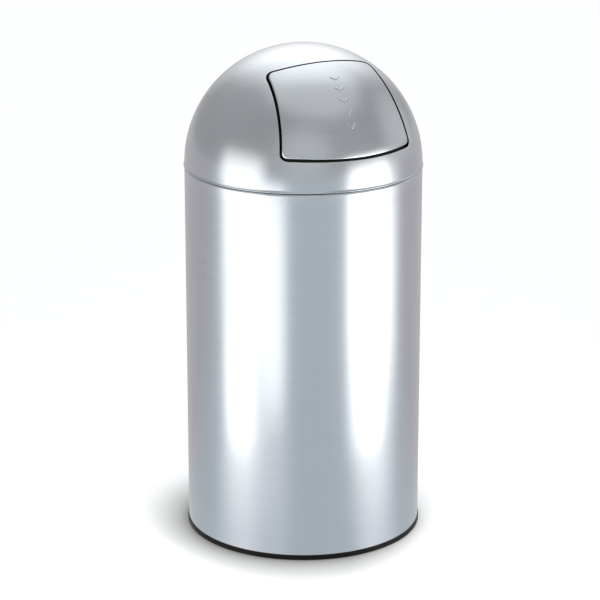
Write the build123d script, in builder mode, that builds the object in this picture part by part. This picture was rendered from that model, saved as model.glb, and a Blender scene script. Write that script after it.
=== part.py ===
from build123d import *
from math import acos, asin, atan2, cos, degrees, hypot, radians, sin, sqrt
import os

# Push top countertop bin, in millimetres. +Z is up, the origin lies on the surface that
# the bin stands on, under its middle, and the push flap faces -Y.

# --- driving dimensions -------------------------------------------------------------
# body
body_radius = 75.0
body_height = 238.1  # to the top of the rolled rim
body_sheet = 0.6
body_bead = 1.6  # outside radius of the rolled rim
pan_sheet = 0.6
pan_height = 8.0  # to the top face of the pressed bottom
pan_corner = 3.0

# moulded ring that the bin stands on
ring_foot = 1.8
ring_foot_width = 6.0
ring_visible = 3.2
ring_proud = 0.5
ring_edge = 0.25
ring_lip = 1.2

# lid
seam_gap = 0.4
dome_sheet = 0.8
rim_height = 1.3
rim_proud = 0.5
rim_round = 0.45
hem_width = 5.0
hem_top = 2.0
collar_wall = 1.6
collar_depth = 13.0
collar_clear = 3.8  # below the carrier's low edge

# flap outline: angles up and across the dome, from the direction that it is punched in
punch_angle = 20.0
flap_low_side = -1.5
flap_low_middle = -6.1
flap_high_side = 45.0
flap_high_middle = 47.7
flap_half_low = 36.0
flap_half_high = 28.4
flap_low_corner = 4.0
flap_high_corner = 6.0
side_gap = 1.6
low_gap = 1.6
hinge_gap = 0.55

# flap panel and the raised marks down its middle
flap_sheet = 0.8
flap_return = 2.4  # depth of the turned-in edge
mark_count = 5
mark_low_angle = 8.0
mark_high_angle = 34.0
mark_width = 6.4
mark_drop = 2.6
mark_arm = 1.3
mark_height = 0.4

# moulded carrier behind the panel, and its two bumpers
carrier_wall = 1.6
carrier_gap = 0.1  # to the panel's turned-in edge
carrier_lip = 1.4
carrier_reach = 4.5  # how far the carrier reaches behind the dome
carrier_top = 34.0
lip_top = 36.0
bumper_inset = 0.8
bumper_width = 3.0
bumper_length = 16.0
bumper_offset = 25.0

# hinge
flap_travel = 50.0
hinge_angle = 72.5  # up the dome
hinge_below_return = 2.6  # from the panel's turned-in edge to the rod's axis
rod_radius = 1.5
bracket_inset = 8.5  # from the flap's high corner to the bracket's outer face
bracket_sheet = 1.2
bracket_foot = 7.0
bracket_eye_wall = 1.2
bracket_edge = 1.8
bracket_front = 83.0  # angles up the dome between which it is welded on
bracket_back = 101.0
ear_thickness = 3.0
ear_wall = 2.1
ear_root = 45.0
heel_angle = 172.0  # from straight forward, at rest
heel_radius = 1.5
cap_wall = 0.6
cap_edge = 0.3
cap_length = 2.4
spring_room = 7.5  # along the rod, between ear and bracket
spring_wire = 0.45
spring_slack = 0.5  # round the rod
spring_turns = 5
spring_front_tip = 52.0
spring_back_tip = 88.0

# bucket
bucket_below_collar = 3.4
bucket_gap = 1.6  # round its rim, inside the body's rolled rim
bucket_taper = 6.0
bucket_sheet = 0.6
bucket_bead = 1.4
bucket_corner = 4.0
ear_width = 12.0
ear_flat = 0.6  # left between its rounded corners
ear_sheet = 1.2
ear_below_rim = 14.0
ear_above_rim = 5.5
ear_play = 0.15  # between its edges and the bucket's wall
rivet_radius = 1.5
rivet_head_radius = 2.3
rivet_head = 0.8
rivet_drops = (5.0, 10.0)  # below the rim

# bail
bail_wire = 1.5
bail_bend = 2.5
bail_play = 0.1  # round it in the ears
bail_above_rim = 0.4
bail_in_collar = 1.3  # from the wire at the back to the collar round it
bail_head = 1.0
bail_head_edge = 0.7

# clearances
running = 0.05  # round fits that turn or press together
seat = 0.3  # between pieces of different bodies that rest on each other
slip = 0.5  # round the collar, which lifts out of the body
weld = 0.3  # how far fused features reach into each other

# --- places that follow from them ---------------------------------------------------
body_inside = body_radius - body_sheet
throat = body_radius - 2 * body_bead  # inside the body's rolled rim
dome_radius = body_radius
dome_inside = dome_radius - dome_sheet
hem_inside = dome_inside - dome_sheet
seam = body_height + seam_gap
dome_centre = seam + rim_height
past_dome = dome_radius + dome_sheet

collar_seat = body_height + seat
collar_foot = collar_seat - collar_depth
collar_outside = throat - slip
collar_inside = collar_outside - collar_wall

panel_inside = dome_radius - flap_sheet
carrier_outside = dome_radius - flap_return - carrier_gap
carrier_inside = carrier_outside - carrier_wall

bucket_base = pan_height + seat
bucket_rim = collar_foot - bucket_below_collar
bucket_top_radius = throat - bucket_gap - 2 * bucket_bead + bucket_sheet
bail_axis_z = bucket_rim + bail_above_rim + bail_wire

flap_plane = Plane(
    origin=(0, 0, dome_centre),
    x_dir=(1, 0, 0),
    z_dir=(0, -cos(radians(punch_angle)), sin(radians(punch_angle))),
)


def along_dome(angle):
    """Distance in the flap's plane that an angle up or across the dome covers."""
    return dome_radius * sin(radians(angle))


def dome_point(reach, angle):
    """Point in the YZ plane at a reach from the dome's centre and an angle up its front."""
    return (-reach * cos(radians(angle)), dome_centre + reach * sin(radians(angle)))


def reach_beside(radius, distance):
    """Radius of the circle that a plane at a distance from its centre cuts from a sphere."""
    return sqrt(radius**2 - distance**2)


def bucket_outside(z):
    """Outside radius of the bucket's tapered wall at height z."""
    share = (bucket_rim - z) / (bucket_rim - bucket_base)
    return bucket_top_radius - share * bucket_taper


def dome_layer(outside, inside):
    """Half of a spherical shell, from the dome's centre up."""
    with BuildPart() as layer:
        with BuildSketch(Plane.XZ):
            with BuildLine():
                CenterArc((0, dome_centre), outside, 0, 90)
                Line((0, dome_centre + outside), (0, dome_centre + inside))
                CenterArc((0, dome_centre), inside, 0, 90)
                Line((inside, dome_centre), (outside, dome_centre))
            make_face()
        revolve(axis=Axis.Z)
    return layer.part


def flap_outline(side, low, high):
    """Flap's outline grown at its sides, low end and high end, with rounded corners."""
    half_low = along_dome(flap_half_low) + side
    half_high = along_dome(flap_half_high) + side
    low_side = along_dome(flap_low_side) - low
    low_middle = along_dome(flap_low_middle) - low
    high_side = along_dome(flap_high_side) + high
    high_middle = along_dome(flap_high_middle) + high
    with BuildSketch(flap_plane) as outline:
        with BuildLine():
            ThreePointArc((-half_low, low_side), (0, low_middle), (half_low, low_side))
            Line((half_low, low_side), (half_high, high_side))
            ThreePointArc((half_high, high_side), (0, high_middle), (-half_high, high_side))
            Line((-half_high, high_side), (-half_low, low_side))
        make_face()
        fillet(outline.vertices().sort_by(Axis.Y)[:2], flap_low_corner + side)
        fillet(outline.vertices().sort_by(Axis.Y)[-2:], flap_high_corner + side)
    return outline.sketch


def opening_outline(margin, top_margin):
    """Outline of the dome's opening, grown by a margin and another one at the hinge side."""
    return flap_outline(
        side_gap / 2 + margin, low_gap / 2 + margin, hinge_gap / 2 + top_margin
    )


def panel_outline(inset):
    """Outline of the flap panel, shrunk by an inset."""
    return flap_outline(-side_gap / 2 - inset, -low_gap / 2 - inset, -hinge_gap / 2 - inset)


def mirrored(piece):
    """Left-hand copy of a right-hand piece."""
    with BuildPart() as copy:
        mirror(piece, about=Plane.YZ)
    return copy.part


def write(piece, name):
    """Label a finished piece and write it as its own STEP file."""
    piece.label = name
    export_step(piece, f"parts/{name}.step")


# the hinge, laid out from the flap's high corner inward along the rod
bracket_outer_face = along_dome(flap_half_high) - bracket_inset
bracket_inner_face = bracket_outer_face - bracket_sheet
ear_outer_side = bracket_inner_face - spring_room
ear_inner_side = ear_outer_side - ear_thickness
hinge_reach = reach_beside(dome_inside, bracket_outer_face) - flap_return - hinge_below_return
hinge_y, hinge_z = dome_point(hinge_reach, hinge_angle)
hinge_plane = Plane(origin=(0, hinge_y, hinge_z), x_dir=(0, 1, 0), z_dir=(1, 0, 0))

os.makedirs("parts", exist_ok=True)

# --- body ---------------------------------------------------------------------------
with BuildPart() as body_shell:
    with BuildSketch(Plane.XZ):
        with BuildLine():
            curl = CenterArc(
                (body_radius - body_bead, body_height - body_bead),
                body_bead - body_sheet / 2, 0, 270,
            )
            Line(curl @ 0, (body_radius - body_sheet / 2, ring_foot))
        trace(line_width=body_sheet)
    revolve(axis=Axis.Z)
write(body_shell.part, "body_shell")

with BuildPart() as body_base:
    with BuildSketch(Plane.XZ):
        with BuildLine():
            FilletPolyline(
                (0, pan_height - pan_sheet / 2),
                (body_inside - running - pan_sheet / 2, pan_height - pan_sheet / 2),
                (body_inside - running - pan_sheet / 2, ring_foot),
                radius=pan_corner,
            )
        trace(line_width=pan_sheet)
    revolve(axis=Axis.Z)
write(body_base.part, "body_base")

lip_outside = body_inside - pan_sheet - 2 * running
ring_grip = pan_height - pan_sheet / 2 - pan_corner
with BuildPart() as base_ring:
    with BuildSketch(Plane.XZ) as ring:
        with BuildLine():
            Polyline(
                (body_inside - ring_foot_width, 0),
                (body_radius + ring_proud, 0),
                (body_radius + ring_proud, ring_visible),
                (body_radius + running, ring_visible),
                (body_radius + running, ring_foot),
                (lip_outside, ring_foot),
                (lip_outside, ring_grip),
                (lip_outside - ring_lip, ring_grip),
                (lip_outside - ring_lip, ring_foot),
                (body_inside - ring_foot_width, ring_foot),
                close=True,
            )
        make_face()
        chamfer(ring.vertices().sort_by(Axis.X)[-2:], ring_edge)
    revolve(axis=Axis.Z)
write(base_ring.part, "base_ring")

# --- lid ----------------------------------------------------------------------------
hem_layer = dome_layer(dome_inside + weld, hem_inside)
hem_outline = opening_outline(hem_width, hem_top)
with BuildPart() as hem:
    add(hem_layer)
    extrude(hem_outline, amount=past_dome, mode=Mode.INTERSECT)

opening = opening_outline(0, 0)
with BuildPart() as lid_dome:
    with BuildSketch(Plane.XZ) as profile:
        with BuildLine():
            CenterArc((0, dome_centre), dome_radius, 0, 90)
            Line((0, dome_centre + dome_radius), (0, dome_centre + dome_inside))
            CenterArc((0, dome_centre), dome_inside, 0, 90)
            Polyline(
                (dome_inside, dome_centre),
                (dome_inside, seam),
                (dome_radius + rim_proud, seam),
                (dome_radius + rim_proud, dome_centre),
                (dome_radius, dome_centre),
            )
        make_face()
        fillet(profile.vertices().sort_by(Axis.X)[-2:], rim_round)
    revolve(axis=Axis.Z)
    add(hem.part)
    extrude(opening, amount=past_dome, mode=Mode.SUBTRACT)
write(lid_dome.part, "lid_dome")

carrier_low = along_dome(flap_low_middle) - low_gap / 2 - carrier_reach
carrier_low_angle = punch_angle + degrees(asin(carrier_low / carrier_inside))
collar_top = dome_point(carrier_inside, carrier_low_angle)[1] - collar_clear
collar_upper = reach_beside(dome_inside, collar_top - dome_centre) - running
with BuildPart() as lid_collar:
    with BuildSketch(Plane.XZ):
        with BuildLine():
            Polyline(
                (collar_inside, collar_foot),
                (collar_outside, collar_foot),
                (collar_outside, collar_seat),
                (dome_inside - running, collar_seat),
                (dome_inside - running, dome_centre),
                (collar_upper, dome_centre),
                (collar_upper, collar_top),
                (collar_upper - collar_wall, collar_top),
                (collar_upper - collar_wall, collar_seat + collar_wall),
                (collar_inside, collar_seat + collar_wall),
                close=True,
            )
        make_face()
    revolve(axis=Axis.Z)
write(lid_collar.part, "lid_collar")

# --- hinge --------------------------------------------------------------------------
foot_outside = dome_inside - running
foot_inside = foot_outside - bracket_sheet
foot_layer = dome_layer(foot_outside, foot_inside)
foot_reach = reach_beside(foot_outside, bracket_outer_face)
with BuildPart() as bracket_tab:
    add(foot_layer)
    with BuildSketch(Plane.XY.offset(dome_centre)):
        foot_front = -foot_reach * cos(radians(bracket_front))
        foot_back = -foot_reach * cos(radians(bracket_back))
        with Locations((bracket_outer_face, foot_front)):
            Rectangle(bracket_foot, foot_back - foot_front, align=(Align.MAX, Align.MIN))
    extrude(amount=past_dome, mode=Mode.INTERSECT)

with BuildPart() as hinge_bracket:
    with BuildSketch(Plane.YZ.offset(bracket_inner_face)):
        with Locations((hinge_y, hinge_z)):
            Circle(rod_radius + bracket_eye_wall)
        edge_reach = reach_beside(foot_inside, bracket_inner_face) + weld - bracket_edge
        for angle in (bracket_front, (bracket_front + bracket_back) / 2, bracket_back):
            with Locations(dome_point(edge_reach, angle)):
                Circle(bracket_edge)
        make_hull()
    extrude(amount=bracket_sheet)
    add(bracket_tab.part)
    with BuildSketch(hinge_plane.offset(bracket_inner_face)):
        Circle(rod_radius + running)
    extrude(amount=bracket_sheet, mode=Mode.SUBTRACT)
write(hinge_bracket.part, "hinge_bracket_right")
write(mirrored(hinge_bracket.part), "hinge_bracket_left")

cap_start = bracket_outer_face + running
rod_half_length = cap_start + cap_length - cap_wall - running
with BuildPart() as hinge_rod:
    with BuildSketch(hinge_plane):
        Circle(rod_radius)
    extrude(amount=rod_half_length, both=True)
write(hinge_rod.part, "hinge_rod")

with BuildPart() as rod_cap:
    with BuildSketch(hinge_plane.offset(cap_start)):
        Circle(rod_radius + running + cap_wall)
    extrude(amount=cap_length)
    with BuildSketch(hinge_plane.offset(cap_start)):
        Circle(rod_radius + running)
    extrude(amount=cap_length - cap_wall, mode=Mode.SUBTRACT)
    chamfer(rod_cap.edges().group_by(Axis.X)[-1], cap_edge)
write(rod_cap.part, "rod_cap_right")
write(mirrored(rod_cap.part), "rod_cap_left")

# each spring's legs leave its coil at a tangent: one ends inside the flap's carrier, the
# other under the bracket's foot
coil_radius = rod_radius + spring_slack + spring_wire
coil_start = ear_outer_side + seat + spring_wire
coil_end = bracket_inner_face - seat - spring_wire
front_tip = dome_point(
    reach_beside(carrier_inside, coil_start) - seat - spring_wire, spring_front_tip
)
back_tip = dome_point(
    reach_beside(foot_inside, coil_end) - running - spring_wire, spring_back_tip
)
front_span = hypot(front_tip[0] - hinge_y, front_tip[1] - hinge_z)
back_span = hypot(back_tip[0] - hinge_y, back_tip[1] - hinge_z)
front_turn = degrees(
    atan2(front_tip[1] - hinge_z, front_tip[0] - hinge_y) - acos(coil_radius / front_span)
) % 360
back_turn = degrees(
    atan2(back_tip[1] - hinge_z, back_tip[0] - hinge_y) + acos(coil_radius / back_span)
) % 360
coil_turns = spring_turns + (front_turn - back_turn) / 360
coil_length = coil_end - coil_start
coil_plane = Plane(
    origin=(coil_start, hinge_y, hinge_z),
    x_dir=(0, cos(radians(front_turn)), sin(radians(front_turn))),
    z_dir=(1, 0, 0),
)
with BuildPart() as wound_wire:
    with BuildLine() as wire_path:
        coil = Helix(coil_length / coil_turns, coil_length, coil_radius, lefthand=True)
        for end, way, span in ((0, -1, front_span), (1, 1, back_span)):
            heading = Vector((coil % end).X, (coil % end).Y, 0).normalized() * way
            Line(coil @ end, (coil @ end) + heading * sqrt(span**2 - coil_radius**2))
    centre_line = wire_path.wires()[0]
    with BuildSketch(Plane(centre_line @ 0, z_dir=centre_line % 0)):
        Circle(spring_wire)
    sweep(path=centre_line, transition=Transition.TRANSFORMED)
with BuildPart() as return_spring:
    with Locations(coil_plane.location):
        add(wound_wire.part)
write(return_spring.part, "return_spring_right")
write(mirrored(return_spring.part), "return_spring_left")

# --- flap ---------------------------------------------------------------------------
panel_layer = dome_layer(dome_radius, dome_radius - flap_return)
panel_core = dome_layer(panel_inside, dome_radius - flap_return - weld)
panel_edge = panel_outline(0)
panel_hollow_edge = panel_outline(flap_sheet)
with BuildPart() as panel_hollow:
    add(panel_core)
    extrude(panel_hollow_edge, amount=past_dome, mode=Mode.INTERSECT)

mark_layer = dome_layer(dome_radius + mark_height, panel_inside + weld)
with BuildPart() as marks:
    add(mark_layer)
    with BuildSketch(flap_plane):
        for index in range(mark_count):
            share = index / (mark_count - 1)
            angle = mark_low_angle + share * (mark_high_angle - mark_low_angle)
            with Locations((0, along_dome(angle))):
                Polygon(
                    (-mark_width / 2, mark_drop),
                    (0, 0),
                    (mark_width / 2, mark_drop),
                    (mark_width / 2, mark_drop + mark_arm),
                    (0, mark_arm),
                    (-mark_width / 2, mark_drop + mark_arm),
                    align=None,
                )
    extrude(amount=past_dome, mode=Mode.INTERSECT)

with BuildPart() as flap_panel:
    add(panel_layer)
    extrude(panel_edge, amount=past_dome, mode=Mode.INTERSECT)
    add(panel_hollow.part, mode=Mode.SUBTRACT)
    add(marks.part)
write(flap_panel.part, "flap_panel")

lip_layer = dome_layer(panel_inside - running, carrier_outside - weld)
lip_edge = panel_outline(flap_sheet + running)
lip_hollow_edge = panel_outline(flap_sheet + running + carrier_lip)
with BuildPart() as carrier_rim:
    add(lip_layer)
    extrude(lip_edge, amount=past_dome, mode=Mode.INTERSECT)
    extrude(lip_hollow_edge, amount=past_dome, mode=Mode.SUBTRACT)
    with BuildSketch(flap_plane):
        with Locations((0, along_dome(lip_top))):
            Rectangle(2 * past_dome, past_dome, align=(Align.CENTER, Align.MIN))
    extrude(amount=past_dome, mode=Mode.SUBTRACT)

# the heels behind the rod meet the dome's inside at the end of the flap's travel
heel_turn = radians(heel_angle - flap_travel - hinge_angle)
heel_limit = reach_beside(dome_inside, ear_outer_side) - seat - heel_radius
heel_across = hinge_reach * sin(heel_turn)
heel_reach = sqrt(heel_limit**2 - heel_across**2) - hinge_reach * cos(heel_turn)
heel_y = hinge_y - heel_reach * cos(radians(heel_angle))
heel_z = hinge_z + heel_reach * sin(radians(heel_angle))

carrier_layer = dome_layer(carrier_outside, carrier_inside)
carrier_edge = opening_outline(carrier_reach, carrier_reach)
ear_disc = rod_radius + ear_wall
root_reach = reach_beside(carrier_inside, ear_outer_side) - ear_disc + carrier_wall
with BuildPart() as flap_carrier:
    add(carrier_layer)
    extrude(carrier_edge, amount=past_dome, mode=Mode.INTERSECT)
    with BuildSketch(flap_plane):
        with Locations((0, along_dome(carrier_top))):
            Rectangle(2 * past_dome, past_dome, align=(Align.CENTER, Align.MIN))
    extrude(amount=past_dome, mode=Mode.SUBTRACT)
    add(carrier_rim.part)
    for ear_side in (ear_inner_side, -ear_outer_side):
        with BuildSketch(Plane.YZ.offset(ear_side)):
            with Locations((hinge_y, hinge_z)):
                Circle(ear_disc)
            with Locations(dome_point(root_reach, ear_root)):
                Circle(ear_disc)
            make_hull()
        extrude(amount=ear_thickness)
        with BuildSketch(Plane.YZ.offset(ear_side)):
            with Locations((hinge_y, hinge_z)):
                Circle(ear_disc)
            with Locations((heel_y, heel_z)):
                Circle(heel_radius)
            make_hull()
        extrude(amount=ear_thickness)
    with BuildSketch(hinge_plane):
        Circle(rod_radius + running)
    extrude(amount=ear_outer_side, both=True, mode=Mode.SUBTRACT)
write(flap_carrier.part, "flap_carrier")

bumper_layer = dome_layer(hem_inside - seat, carrier_outside + running)
bumper_outside = opening_outline(bumper_inset + bumper_width, bumper_inset + bumper_width)
bumper_inside = opening_outline(bumper_inset, bumper_inset)
with BuildPart() as flap_bumper:
    add(bumper_layer)
    extrude(bumper_outside, amount=past_dome, mode=Mode.INTERSECT)
    extrude(bumper_inside, amount=past_dome, mode=Mode.SUBTRACT)
    with BuildSketch(flap_plane):
        with Locations((bumper_offset, 0)):
            Rectangle(bumper_length, past_dome, align=(Align.CENTER, Align.MAX))
    extrude(amount=past_dome, mode=Mode.INTERSECT)
write(flap_bumper.part, "flap_bumper_right")
write(mirrored(flap_bumper.part), "flap_bumper_left")

# --- bucket -------------------------------------------------------------------------
ear_bottom_inside = bucket_outside(bucket_rim - ear_below_rim) - bucket_sheet
ear_outer_face = sqrt(ear_bottom_inside**2 - (ear_width / 2) ** 2) - ear_play
ear_inner_face = ear_outer_face - ear_sheet

with BuildPart() as bucket:
    with BuildSketch(Plane.XZ):
        with BuildLine():
            rim_curl = CenterArc(
                (bucket_top_radius - bucket_sheet + bucket_bead, bucket_rim - bucket_bead),
                bucket_bead - bucket_sheet / 2, 180, -270,
            )
            FilletPolyline(
                rim_curl @ 0,
                (bucket_outside(bucket_base) - bucket_sheet / 2, bucket_base + bucket_sheet / 2),
                (0, bucket_base + bucket_sheet / 2),
                radius=bucket_corner,
            )
        trace(line_width=bucket_sheet)
    revolve(axis=Axis.Z)
    for drop in rivet_drops:
        with BuildSketch(Plane.YZ):
            with Locations((0, bucket_rim - drop)):
                Circle(rivet_radius + running)
        extrude(amount=past_dome, both=True, mode=Mode.SUBTRACT)
write(bucket.part, "bucket")

with BuildPart() as bail_ear:
    with BuildSketch(Plane.YZ.offset(ear_inner_face)) as ear:
        with Locations((0, bucket_rim - ear_below_rim)):
            Rectangle(
                ear_width, ear_below_rim + ear_above_rim, align=(Align.CENTER, Align.MIN)
            )
        fillet(ear.vertices().group_by(Axis.Y)[-1], (ear_width - ear_flat) / 2)
        with Locations((0, bail_axis_z)):
            Circle(bail_wire + bail_play, mode=Mode.SUBTRACT)
        with Locations(*[(0, bucket_rim - drop) for drop in rivet_drops]):
            Circle(rivet_radius + running, mode=Mode.SUBTRACT)
    extrude(amount=ear_sheet)
write(bail_ear.part, "bail_ear_right")
write(mirrored(bail_ear.part), "bail_ear_left")

with BuildPart() as rivets:
    for drop in rivet_drops:
        wall_face = bucket_outside(bucket_rim - drop + rivet_head_radius) + running
        with BuildSketch(Plane.YZ.offset(ear_inner_face - rivet_head)):
            with Locations((0, bucket_rim - drop)):
                Circle(rivet_radius)
        extrude(amount=wall_face - ear_inner_face + 2 * rivet_head)
        for head_face in (ear_inner_face - running - rivet_head, wall_face):
            with BuildSketch(Plane.YZ.offset(head_face)):
                with Locations((0, bucket_rim - drop)):
                    Circle(rivet_head_radius)
            extrude(amount=rivet_head)
    mirror(about=Plane.YZ)
write(rivets.part, "ear_rivets")

# --- bail ---------------------------------------------------------------------------
bail_reach = collar_inside - bail_in_collar - bail_wire
bail_side = ear_inner_face - seat - bail_bend
bail_bow = bail_reach - bail_side
bail_end = ear_outer_face + seat
with BuildPart() as bail:
    with BuildLine(Plane.XY.offset(bail_axis_z)) as bail_path:
        FilletPolyline(
            (bail_end, 0), (bail_side, 0), (bail_side, bail_bow), radius=bail_bend
        )
        CenterArc((0, bail_bow), bail_side, 0, 180)
        FilletPolyline(
            (-bail_side, bail_bow), (-bail_side, 0), (-bail_end, 0), radius=bail_bend
        )
    with BuildSketch(Plane.YZ.offset(bail_end)):
        with Locations((0, bail_axis_z)):
            Circle(bail_wire)
    sweep(path=bail_path.line)
    for head_face in (bail_end, -bail_end - bail_head):
        with BuildSketch(Plane.YZ.offset(head_face)):
            with Locations((0, bail_axis_z)):
                Circle(bail_wire + bail_head_edge)
        extrude(amount=bail_head)
write(bail.part, "bail")
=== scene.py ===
import bmesh
import bpy
from math import atan2, cos, degrees, hypot, pi, radians, sin, sqrt, tan
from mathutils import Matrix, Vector


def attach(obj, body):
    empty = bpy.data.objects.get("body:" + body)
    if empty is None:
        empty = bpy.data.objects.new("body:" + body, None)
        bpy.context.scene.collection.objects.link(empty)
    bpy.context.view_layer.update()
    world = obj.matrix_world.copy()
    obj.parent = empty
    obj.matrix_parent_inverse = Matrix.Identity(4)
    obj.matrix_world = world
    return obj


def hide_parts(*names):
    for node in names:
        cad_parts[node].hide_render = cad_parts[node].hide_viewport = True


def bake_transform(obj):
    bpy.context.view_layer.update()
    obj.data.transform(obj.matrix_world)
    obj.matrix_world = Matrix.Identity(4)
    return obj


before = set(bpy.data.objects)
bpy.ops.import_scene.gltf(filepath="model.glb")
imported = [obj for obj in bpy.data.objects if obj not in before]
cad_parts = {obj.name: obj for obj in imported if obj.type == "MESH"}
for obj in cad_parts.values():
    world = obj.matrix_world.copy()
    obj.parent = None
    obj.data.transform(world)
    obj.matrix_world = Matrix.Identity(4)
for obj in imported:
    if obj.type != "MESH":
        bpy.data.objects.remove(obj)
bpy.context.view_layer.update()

MM = 0.001

# --- sizes of the bin, in metres ------------------------------------------------------
body_radius = 75.0 * MM
body_height = 238.1 * MM
body_sheet = 0.6 * MM
body_bead = 1.6 * MM
body_inside = body_radius - body_sheet
ring_foot = 1.8 * MM
ring_visible = 3.2 * MM
ring_proud = 0.5 * MM
ring_foot_width = 6.0 * MM
ring_lip = 1.2 * MM
pan_sheet = 0.6 * MM
pan_height = 8.0 * MM
pan_corner = 3.0 * MM
seated_gap = 0.05 * MM  # between a piece and the one it is pushed into or welded to

dome_sheet = 0.8 * MM
dome_inside = body_radius - dome_sheet
hem_inside = dome_inside - dome_sheet
rim_proud = 0.5 * MM
rim_round = 0.2 * MM
rim_flat = 0.35 * MM
seam = 238.5 * MM
dome_centre = 239.8 * MM
hem_width = 5.0 * MM
hem_top = 2.0 * MM
hem_round = 0.3 * MM
opening_round = 0.22 * MM
opening_lift = radians(42)  # how far up the dome the opening's middle is
collar_wall = 1.6 * MM
collar_foot = 225.4 * MM
collar_seat = 238.4 * MM
collar_top = 247.35 * MM
collar_outside = 71.3 * MM
collar_inside = collar_outside - collar_wall
collar_upper = 73.764 * MM

# the flap's corners and the middles of its bowed ends, as degrees up and across the dome
# from where it is punched
punch_angle = radians(20)
flap_low_side = -1.5
flap_low_middle = -6.1
flap_high_side = 45.0
flap_high_middle = 47.7
flap_half_low = 36.0
flap_half_high = 28.4
flap_middle = 20.5
flap_low_corner = 4.0 * MM
flap_high_corner = 6.0 * MM
side_gap = 1.6 * MM
low_gap = 1.6 * MM
hinge_gap = 0.55 * MM
flap_sheet = 0.8 * MM
flap_return = 2.4 * MM
flap_edge_round = 0.5 * MM
flap_lip_round = 0.2 * MM
flap_inner_corner = 0.3 * MM
roll_width = 4.5 * MM
roll_drop = 0.3 * MM

mark_count = 5
mark_low_angle = radians(8.0)
mark_high_angle = radians(34.0)
mark_width = 6.4 * MM
mark_drop = 2.6 * MM
mark_arm = 1.3 * MM
mark_rise = 0.4 * MM

bucket_base = 8.3 * MM
bucket_rim = 222.0 * MM
bucket_top_radius = 68.0 * MM
bucket_bottom_radius = 62.0 * MM
bucket_sheet = 0.6 * MM
bucket_bead = 1.4 * MM
bucket_corner = 4.0 * MM
bucket_taper = (bucket_top_radius - bucket_bottom_radius) / (bucket_rim - bucket_base)
ear_inner_face = 65.388 * MM
rivet_count = 2
rivet_head_radius = 2.3 * MM
rivet_head = 0.8 * MM
rivet_first_drop = 5.0 * MM
rivet_pitch = 5.0 * MM

# how finely the meshes are divided, and what counts as one point or as an edge
ROUND = 256  # divisions round the bin's axis
EDGE_POINTS = 384  # points round the flap's outline
CORNER_STEPS = 6
BODY_CURL_STEPS = 36
BUCKET_CURL_STEPS = 32
DOME_OUTSIDE_STEPS = 56
DOME_INSIDE_STEPS = 36
BOW_STEPS = 60
FILLET_STEPS = 40
LONGEST_RUN = 8 * MM
SHORT_RUN = 6 * MM
FOOT_RUN = 1.5 * MM  # the wall's last run, so that its foot is marked as an edge alone
SAME_POINT = 1e-6
SHARP = radians(35)
STRAIGHT = 1.56  # half the angle of a corner that is as good as straight
EDGE_REACH = 0.7 * MM  # how far from a bend its edge is rubbed
FULL_BEND = 2.4  # bends within reach that add up to a fully rubbed edge


# --- profiles in (radius, height) -----------------------------------------------------
def arc(centre, radius, start, turn, steps):
    """Points along an arc, its angles in degrees."""
    angles = [radians(start + turn * k / steps) for k in range(steps + 1)]
    return [(centre[0] + radius * cos(a), centre[1] + radius * sin(a)) for a in angles]


def between(centre, first, last, steps):
    """Points along the shorter arc about a centre from one point to another."""
    start, end = (atan2(p[1] - centre[1], p[0] - centre[0]) for p in (first, last))
    turn = (end - start + pi) % (2 * pi) - pi
    radius = hypot(first[0] - centre[0], first[1] - centre[1])
    return arc(centre, radius, degrees(start), degrees(turn), steps)


def corner(before, at, after, radius):
    """Points that round one corner of a line."""
    at = Vector(at)
    a, b = (Vector(before) - at).normalized(), (Vector(after) - at).normalized()
    half = a.angle(b) / 2
    if radius <= 0 or half > STRAIGHT:
        return [tuple(at)]
    centre = at + (a + b).normalized() * (radius / sin(half))
    reach = radius / tan(half)
    return between(centre, at + a * reach, at + b * reach, CORNER_STEPS)


def rounded(points, radius=0, closed=True):
    """A profile with its corners rounded. A point's third number is a radius of its own."""
    out = []
    for k, point in enumerate(points):
        if not closed and k in (0, len(points) - 1):
            out.append(point[:2])
            continue
        before, after = points[k - 1], points[(k + 1) % len(points)]
        own = point[2] if len(point) > 2 else radius
        out += corner(before[:2], point[:2], after[:2], own)
    return out


def part_way(a, b, share):
    """The point a share of the way from one point to another."""
    return (a[0] + (b[0] - a[0]) * share, a[1] + (b[1] - a[1]) * share)


def divided(points, longest):
    """The same line with no run longer than a given length."""
    out = [points[0]]
    for a, b in zip(points, points[1:]):
        parts = max(1, round(hypot(b[0] - a[0], b[1] - a[1]) / longest))
        out += [part_way(a, b, k / parts) for k in range(1, parts + 1)]
    return out


def sheet(line, thickness):
    """Closed profile of a bent sheet about its middle line."""
    outer, inner = [], []
    for k, (x, z) in enumerate(line):
        before, after = line[max(k - 1, 0)], line[min(k + 1, len(line) - 1)]
        run = Vector((after[0] - before[0], after[1] - before[1])).normalized()
        outer.append((x - run.y * thickness / 2, z + run.x * thickness / 2))
        inner.append((x + run.y * thickness / 2, z - run.x * thickness / 2))
    return outer + inner[::-1]


# --- nodes ----------------------------------------------------------------------------
def feed(inputs, values):
    """Gives inputs their values or links."""
    for name, value in values.items():
        if isinstance(value, bpy.types.NodeSocket):
            value.id_data.links.new(value, inputs[name])
        else:
            inputs[name].default_value = value


def put(kind, inputs=(), tree=None, **settings):
    """Adds a node with its settings and inputs to a tree, or to the one that a socket among
    its inputs is in."""
    inputs = dict(inputs)
    if not tree:
        tree = next(v for v in inputs.values() if isinstance(v, bpy.types.NodeSocket)).id_data
    made = tree.nodes.new(kind)
    for name, value in settings.items():
        setattr(made, name, value)
    feed(made.inputs, inputs)
    return made


def got(kind, inputs=(), result=0, **settings):
    """Adds a node and gives one of its results, the first unless another is named."""
    return put(kind, inputs, **settings).outputs[result]


def maths(how, *values):
    """The result of a Math node on values or sockets."""
    return got("ShaderNodeMath", enumerate(values), operation=how)


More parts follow.
